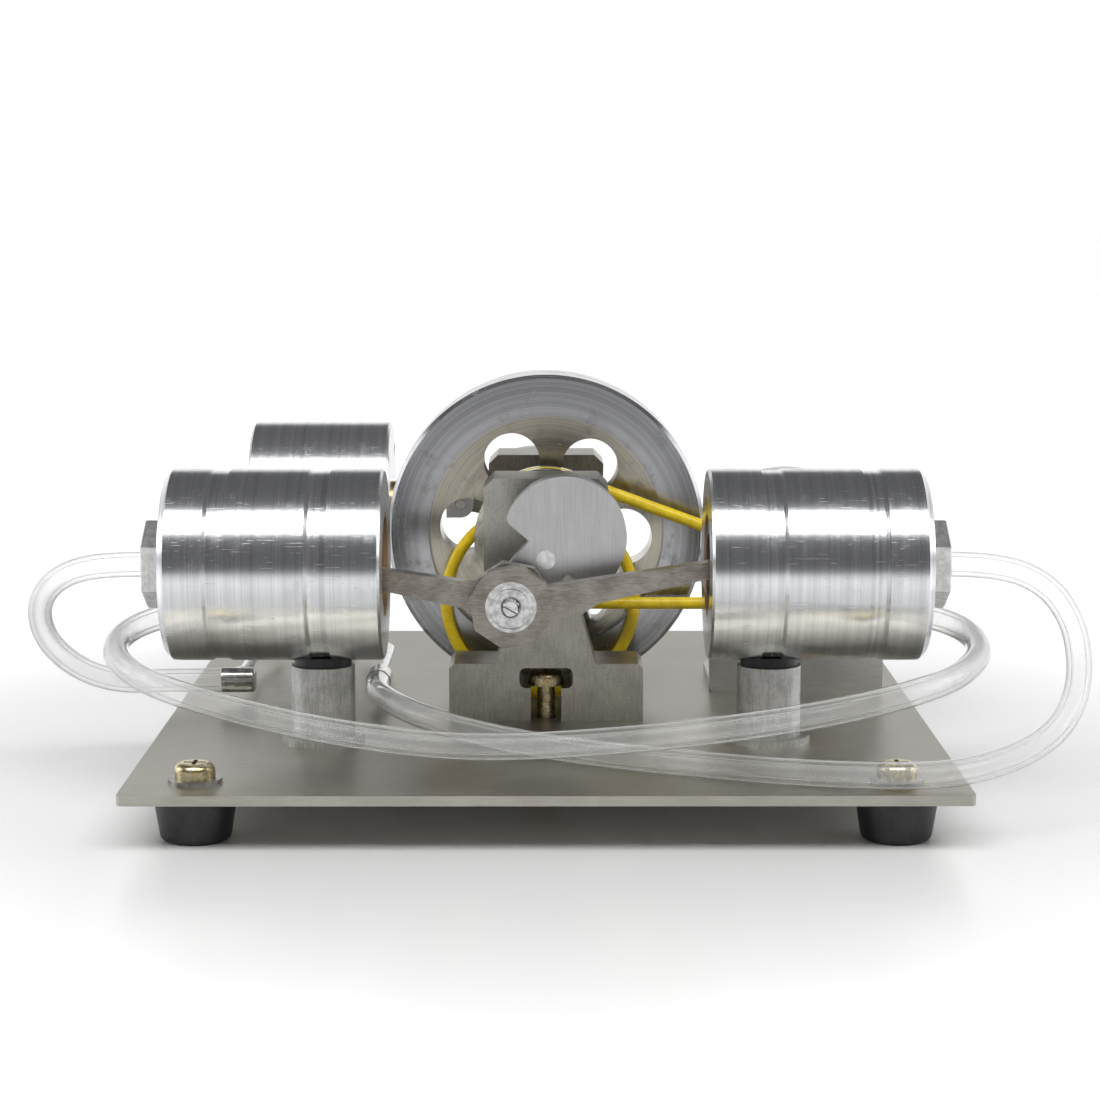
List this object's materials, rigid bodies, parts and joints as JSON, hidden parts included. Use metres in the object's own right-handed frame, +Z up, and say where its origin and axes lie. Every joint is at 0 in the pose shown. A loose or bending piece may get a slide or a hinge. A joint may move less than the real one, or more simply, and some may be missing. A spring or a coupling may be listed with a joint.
{
  "type": "stirling engine model",
  "caption": "desk-top hot-air engine on a steel plate: opposed cold cylinders, rear hot cylinder, crankshaft with flywheel, hoses and a belt-driven generator",
  "frame": {"origin": "on the floor under the centre of the base plate", "axes": "+X right along the front cylinders, +Y to the back along the crankshaft, +Z up"},
  "size_m": [0.1673, 0.14, 0.0638],
  "materials": {
    "plate_steel": "brushed stainless sheet",
    "black_rubber": "moulded black rubber",
    "yellow_zinc": "yellow zinc plating",
    "grey_steel": "plain steel",
    "turned_aluminium": "turned and polished",
    "cast_aluminium": "raw, slightly rough",
    "extruded_aluminium": "extruded and sawn",
    "satin_steel": "satin ground steel",
    "pale_pulley": "pale turned aluminium",
    "bronze": "bronze",
    "rod_steel": "dark rolled steel with bright edges",
    "bright_steel": "ground bright steel",
    "fitting_nickel": "nickel plated",
    "graphite": "graphite grey",
    "clear_hose": "clear soft plastic",
    "yellow_belt": "yellow polyurethane",
    "zinc_can": "zinc plated steel",
    "white_nylon": "moulded nylon",
    "ferrite": "ferrite",
    "copper_alloy": "copper"
  },
  "bodies": {
    "frame": {"balance_elbows": "fitting_nickel", "base_plate": "plate_steel", "brush_gear": "copper_alloy", "cover_screws": "grey_steel", "cylinder_liners": "bronze", "cylinder_posts": "cast_aluminium", "drive_belt": "yellow_belt", "foot_screws": "yellow_zinc", "foot_washers": "grey_steel", "front_pedestal": "extruded_aluminium", "generator_bracket": "cast_aluminium", "generator_can": "zinc_can", "generator_end_cap": "white_nylon", "generator_magnets": "ferrite", "gland_bush": "bronze", "head_plugs": "turned_aluminium", "hose_balance": "clear_hose", "hose_left": "clear_hose", "hose_right": "clear_hose", "hot_barrel": "turned_aluminium", "hot_inner_cover": "turned_aluminium", "hot_outer_cover": "turned_aluminium", "left_cylinder": "turned_aluminium", "lock_nuts": "yellow_zinc", "mounting_screws": "yellow_zinc", "pipe_fittings": "fitting_nickel", "post_gaskets": "black_rubber", "post_screws": "grey_steel", "rear_pedestal": "extruded_aluminium", "right_cylinder": "turned_aluminium", "rubber_feet": "black_rubber", "shaft_bearings": "bright_steel", "spare_belt": "yellow_belt", "transfer_pipes": "bright_steel"},
    "crankshaft": {"crankshaft": "bright_steel", "front_web": "satin_steel", "rear_web": "satin_steel", "flywheel": "turned_aluminium", "belt_pulley": "pale_pulley", "shaft_collars": "grey_steel"},
    "generator_rotor": {"rotor_shaft": "bright_steel", "armature": "ferrite", "commutator": "bronze", "small_pulley": "bronze"},
    "left_piston": {"left_piston": "graphite", "left_wrist_pin": "bright_steel"},
    "left_rod": {"left_rod": "rod_steel", "left_rod_bearing": "bright_steel", "crank_pin": "bright_steel"},
    "right_rod": {"right_rod": "rod_steel", "right_rod_bearing": "bright_steel"},
    "right_piston": {"right_piston": "graphite", "right_wrist_pin": "bright_steel"},
    "hot_piston": {"hot_piston": "graphite", "piston_rod": "bright_steel", "crosshead": "satin_steel", "crosshead_pin": "bright_steel"},
    "hot_rod": {"hot_rod": "rod_steel", "hot_rod_bearing": "bright_steel", "hot_crank_pin": "bright_steel"}
  },
  "joints": [
    {"name": "crank_spin", "type": "hinge", "parent": "frame", "child": "crankshaft", "pos_m": [0, 0, 0.0368], "axis": [0, 1, 0], "continuous": true},
    {"name": "generator_spin", "type": "hinge", "parent": "frame", "child": "generator_rotor", "pos_m": [0.0433, 0.02, 0.0291], "axis": [0, 1, 0], "continuous": true},
    {"name": "piston_slide", "type": "slide", "parent": "frame", "child": "left_piston", "axis": [1, 0, 0], "range_m": [-0.0035, 0.0133]},
    {"name": "left_rod_swing", "type": "hinge", "parent": "left_piston", "child": "left_rod", "pos_m": [-0.0394, -0.0322, 0.0368], "axis": [0, 1, 0], "range_deg": [-24.71, 3.47]},
    {"name": "right_rod_swing", "type": "hinge", "parent": "left_rod", "child": "right_rod", "pos_m": [-0.00549, -0.0322, 0.03044], "axis": [0, 1, 0], "range_deg": [-6.94, 49.43]},
    {"name": "right_piston_swing", "type": "hinge", "parent": "right_rod", "child": "right_piston", "pos_m": [0.02842, -0.0322, 0.0368], "axis": [0, 1, 0], "range_deg": [-24.71, 3.47]},
    {"name": "hot_piston_slide", "type": "slide", "parent": "frame", "child": "hot_piston", "axis": [1, 0, 0], "range_m": [-0.00905, 0.00095]},
    {"name": "hot_rod_swing", "type": "hinge", "parent": "hot_piston", "child": "hot_rod", "pos_m": [-0.01595, 0.048, 0.0368], "axis": [0, 1, 0], "range_deg": [-23.88, 5.08]}
  ],
  "couplings": [
    {"joint": "generator_spin", "follows": "crank_spin", "ratio": 3.2353},
    {"joint": "right_rod_swing", "follows": "left_rod_swing", "ratio": -2},
    {"joint": "right_piston_swing", "follows": "left_rod_swing", "ratio": 1}
  ]
}
